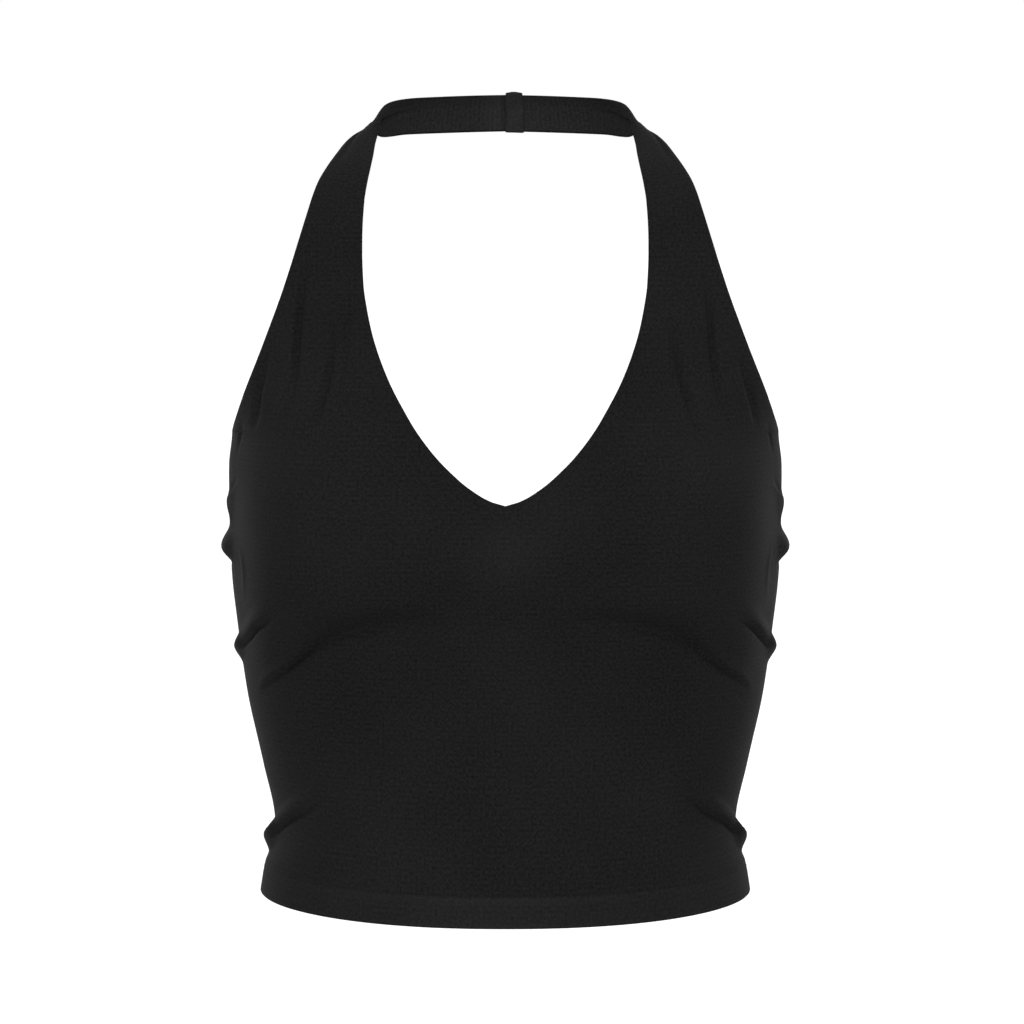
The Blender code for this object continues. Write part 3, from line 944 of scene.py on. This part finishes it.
# The turned allowance of the two strap ends, tacked flat on the inner face at the nape
neckJoin = {
    "width": 0.0085,
    "start": 0.0008,  # its first edge, beside the seam
    "thickness": 0.0015,
    "clearance": 0.0004,
    "pillow": 0.0007,
    "ripple": 0.0004,  # it is tacked by hand, so it waves a little
    "length": 0.0180,
    # how much lighter the whole join is painted, a painted highlight
    "paintedHighlight": 2.6,
    "raise": 0.0012,  # it stands above the band's top
    "rows": 20,
    "columns": 12,
}


def makeNeckJoin(spec):
    sections = strapSections(frontPanel)
    length = sections[-1][0]
    shares = np.linspace(0, 1, spec["rows"] + 1)
    behind = frontPanel["edgeWall"] + spec["clearance"] + spec["thickness"]
    points, flats = [], []
    for k in range(spec["columns"] + 1):
        step = k / spec["columns"]
        reach = spec["start"] + spec["width"] * step
        row, outward, _ = strapRow(frontPanel, sections, [], length - reach, shares)
        pillow = spec["pillow"] * 4 * step * (1 - step)
        pillow = pillow * (1 + 0.3 * np.cos(3 * math.pi * shares))
        pillow = pillow + spec["ripple"] * np.sin(9 * shares + 2 * step)
        row = row - outward * (behind + pillow)[:, None]
        row[:, 2] += spec["raise"] * np.clip(1 - shares * 4, 0, 1) * (0.6 + 0.4 * bell(2 * step - 1))
        points.append(row)
        flats.append(np.stack([shares * spec["length"], np.full(shares.shape, step * spec["width"])], -1))
    rowsOfIndex = np.arange(len(points) * len(shares)).reshape(len(points), -1).tolist()
    points, flats = np.concatenate(points), np.concatenate(flats)
    faces = gridFaces(rowsOfIndex, False)
    walls = np.full(len(points), spec["thickness"])
    return clothObject("neckJoin", points, faces, walls, flats, np.full(len(points), spec["paintedHighlight"]))


join = makeNeckJoin(neckJoin)
print("neck join:", len(join.data.polygons), "faces")


hemStitch = {
    "pitch": 0.0027,
    "length": 0.0021,
    "thickness": 0.00046,
    "flattened": 0.8,
    "sunk": 0.00004,  # pulled into the cloth
}


def oneStitch(spec):
    # a short, slightly flattened stitch lying along X
    bpy.ops.object.select_all(action="DESELECT")
    bpy.ops.mesh.primitive_uv_sphere_add(segments=8, ring_count=6, radius=0.5,
                                         rotation=(0, math.pi / 2, 0))
    model = bpy.context.active_object
    bpy.ops.object.transform_apply(location=False, rotation=True, scale=False)
    shape = np.array([vertex.co for vertex in model.data.vertices])
    faces = [list(face.vertices) for face in model.data.polygons]
    bpy.data.objects.remove(model)
    size = [spec["length"], spec["thickness"], spec["thickness"] * spec["flattened"]]
    return shape * size, faces


def sewHem(name, panel, angles, spec):
    # two rows of the stitch, copied round the panel's hem
    shape, faces = oneStitch(spec)
    points, allFaces = [], []
    for needle in panel["hemNeedles"]:
        girth = girthAt(needle)
        first, last = np.interp(angles, roundAngles, girth)
        first += spec["pitch"] / 2
        count = int((last - first - spec["pitch"] / 2) / spec["pitch"])
        for side in (1, -1):
            creases = panelCreases(panel, side)
            for k in range(count + 1):
                across = first + np.array([-0.3, 0, 0.3]) * spec["pitch"] + k * spec["pitch"]
                if across[-1] > last - spec["pitch"] / 4:
                    continue
                angle = np.interp(across, girth, roundAngles)
                point, outward = bodyPoint(angle, np.full(3, needle))
                lift = creaseLift(creases, across * 1000, np.full(3, needle * 1000)) / 1000
                point = point + outward * (lift + needleLift(panel, needle) - spec["sunk"])[:, None]
                along = unit(point[2] - point[0])
                up = np.cross(outward[1], along)
                axes = np.stack([along, up, outward[1]])
                stitch = (shape @ axes + point[1]) * [side, 1, 1]
                allFaces += [[v + len(points) * len(shape) for v in (face if side > 0 else face[::-1])]
                             for face in faces]
                points.append(stitch)
    return meshObject(name, np.concatenate(points), allFaces, ["thread"], [0] * len(allFaces))


frontStitch = sewHem("frontHemStitch", frontPanel, (0, 90), hemStitch)
backStitch = sewHem("backHemStitch", backPanel, (90, 180), hemStitch)
print("hem stitched:", len(frontStitch.data.polygons) + len(backStitch.data.polygons), "faces")


for piece in (front, back, join, frontStitch, backStitch):
    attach(piece, "root")
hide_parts("front_panel")
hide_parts("back_panel")
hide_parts("neck_join")
print("pieces placed on the frame")


# A white sweep, lit softly all round, with a narrow light on each side from behind
stage = {
    "floorDrop": 0.30,
    "floorSize": 80.0,
    "fill": (0.72, 0.86),  # soft light from below and from above
    "background": 1.0,
    "spotReach": 1.3,
    "spotHeight": 0.134,
    "spotRadius": 0.12,
    # name, energy, degrees round from the front, degrees up, softness
    "suns": [
        ("softKey", 1.55, 0, 18, 40),
        ("leftGlow", 0.20, -148, 6, 40),
        ("rightGlow", 0.20, 148, 6, 40),
    ],
    # name, watts, degrees round from the front, degrees wide
    "spots": [
        ("leftRim", 41.0, -142, 8),
        ("rightRim", 41.0, 142, 8),
    ],
}
bpy.ops.object.select_all(action="DESELECT")
floorLevel = cadBox[0][2] - stage["floorDrop"]
bpy.ops.mesh.primitive_plane_add(size=stage["floorSize"], location=(0, 0, floorLevel))
floor = bpy.context.active_object
floor.name = "floor"
floor.data.materials.append(materials["floor"])
floor.visible_diffuse = False
floor.visible_glossy = False

world = bpy.data.worlds.new("studio")
bpy.context.scene.world = world
world.use_nodes = True
sky = world.node_tree
fill = sky.nodes["Background"]
fill.inputs["Color"].default_value = (1, 1, 1, 1)
toward = addNode(sky, "ShaderNodeSeparateXYZ", [(0, addNode(sky, "ShaderNodeTexCoord"), "Generated")])
slope = addNode(sky, "ShaderNodeMapRange", [(0, toward, "Z")], set1=-0.5, set2=0.5,
                set3=stage["fill"][0], set4=stage["fill"][1])
sky.links.new(slope.outputs[0], fill.inputs["Strength"])
backdrop = addNode(sky, "ShaderNodeBackground", set0=(1, 1, 1, 1), set1=stage["background"])
ray = addNode(sky, "ShaderNodeLightPath")
both = addNode(sky, "ShaderNodeMixShader", [(0, ray, "Is Camera Ray"), (1, fill, 0), (2, backdrop, 0)])
sky.links.new(both.outputs[0], sky.nodes["World Output"].inputs[0])
bpy.context.scene.view_settings.view_transform = "Standard"


def addLamp(name, kind, energy, azimuth, elevation):
    light = bpy.data.lights.new(name, kind)
    light.energy = energy
    lamp = bpy.data.objects.new(name, light)
    lamp.rotation_euler = (math.radians(90 - elevation), 0, math.radians(azimuth))
    bpy.context.scene.collection.objects.link(lamp)
    return lamp


for name, energy, azimuth, elevation, softness in stage["suns"]:
    addLamp(name, "SUN", energy, azimuth, elevation).data.angle = math.radians(softness)

for name, energy, azimuth, wide in stage["spots"]:
    lamp = addLamp(name, "SPOT", energy, azimuth, 0)
    lamp.data.spot_size = math.radians(wide)
    lamp.data.spot_blend = 1.0
    lamp.data.shadow_soft_size = stage["spotRadius"]
    turn = math.radians(azimuth)
    reach = stage["spotReach"]
    lamp.location = (math.sin(turn) * reach, -math.cos(turn) * reach - form["napeDepth"],
                     stage["spotHeight"] - form["napeHeight"])
print("floor and lights placed")


camera = {
    "distance": 2.5,
    "elevation": 4.0,
    "targetHeight": 0.1936,
    "focal": 169.3,
    "shift": 0.0065,
}
lens = bpy.data.cameras.new("camera")
lens.lens = camera["focal"]
lens.sensor_width = 36
lens.shift_x = camera["shift"]
viewer = bpy.data.objects.new("camera", lens)
bpy.context.scene.collection.objects.link(viewer)
tilt = math.radians(camera["elevation"])
viewer.location = (
    0,
    -camera["distance"] * math.cos(tilt) - form["napeDepth"],
    camera["targetHeight"] - form["napeHeight"] + camera["distance"] * math.sin(tilt),
)
viewer.rotation_euler = (math.pi / 2 - tilt, 0, 0)
bpy.context.scene.camera = viewer
print("camera placed")
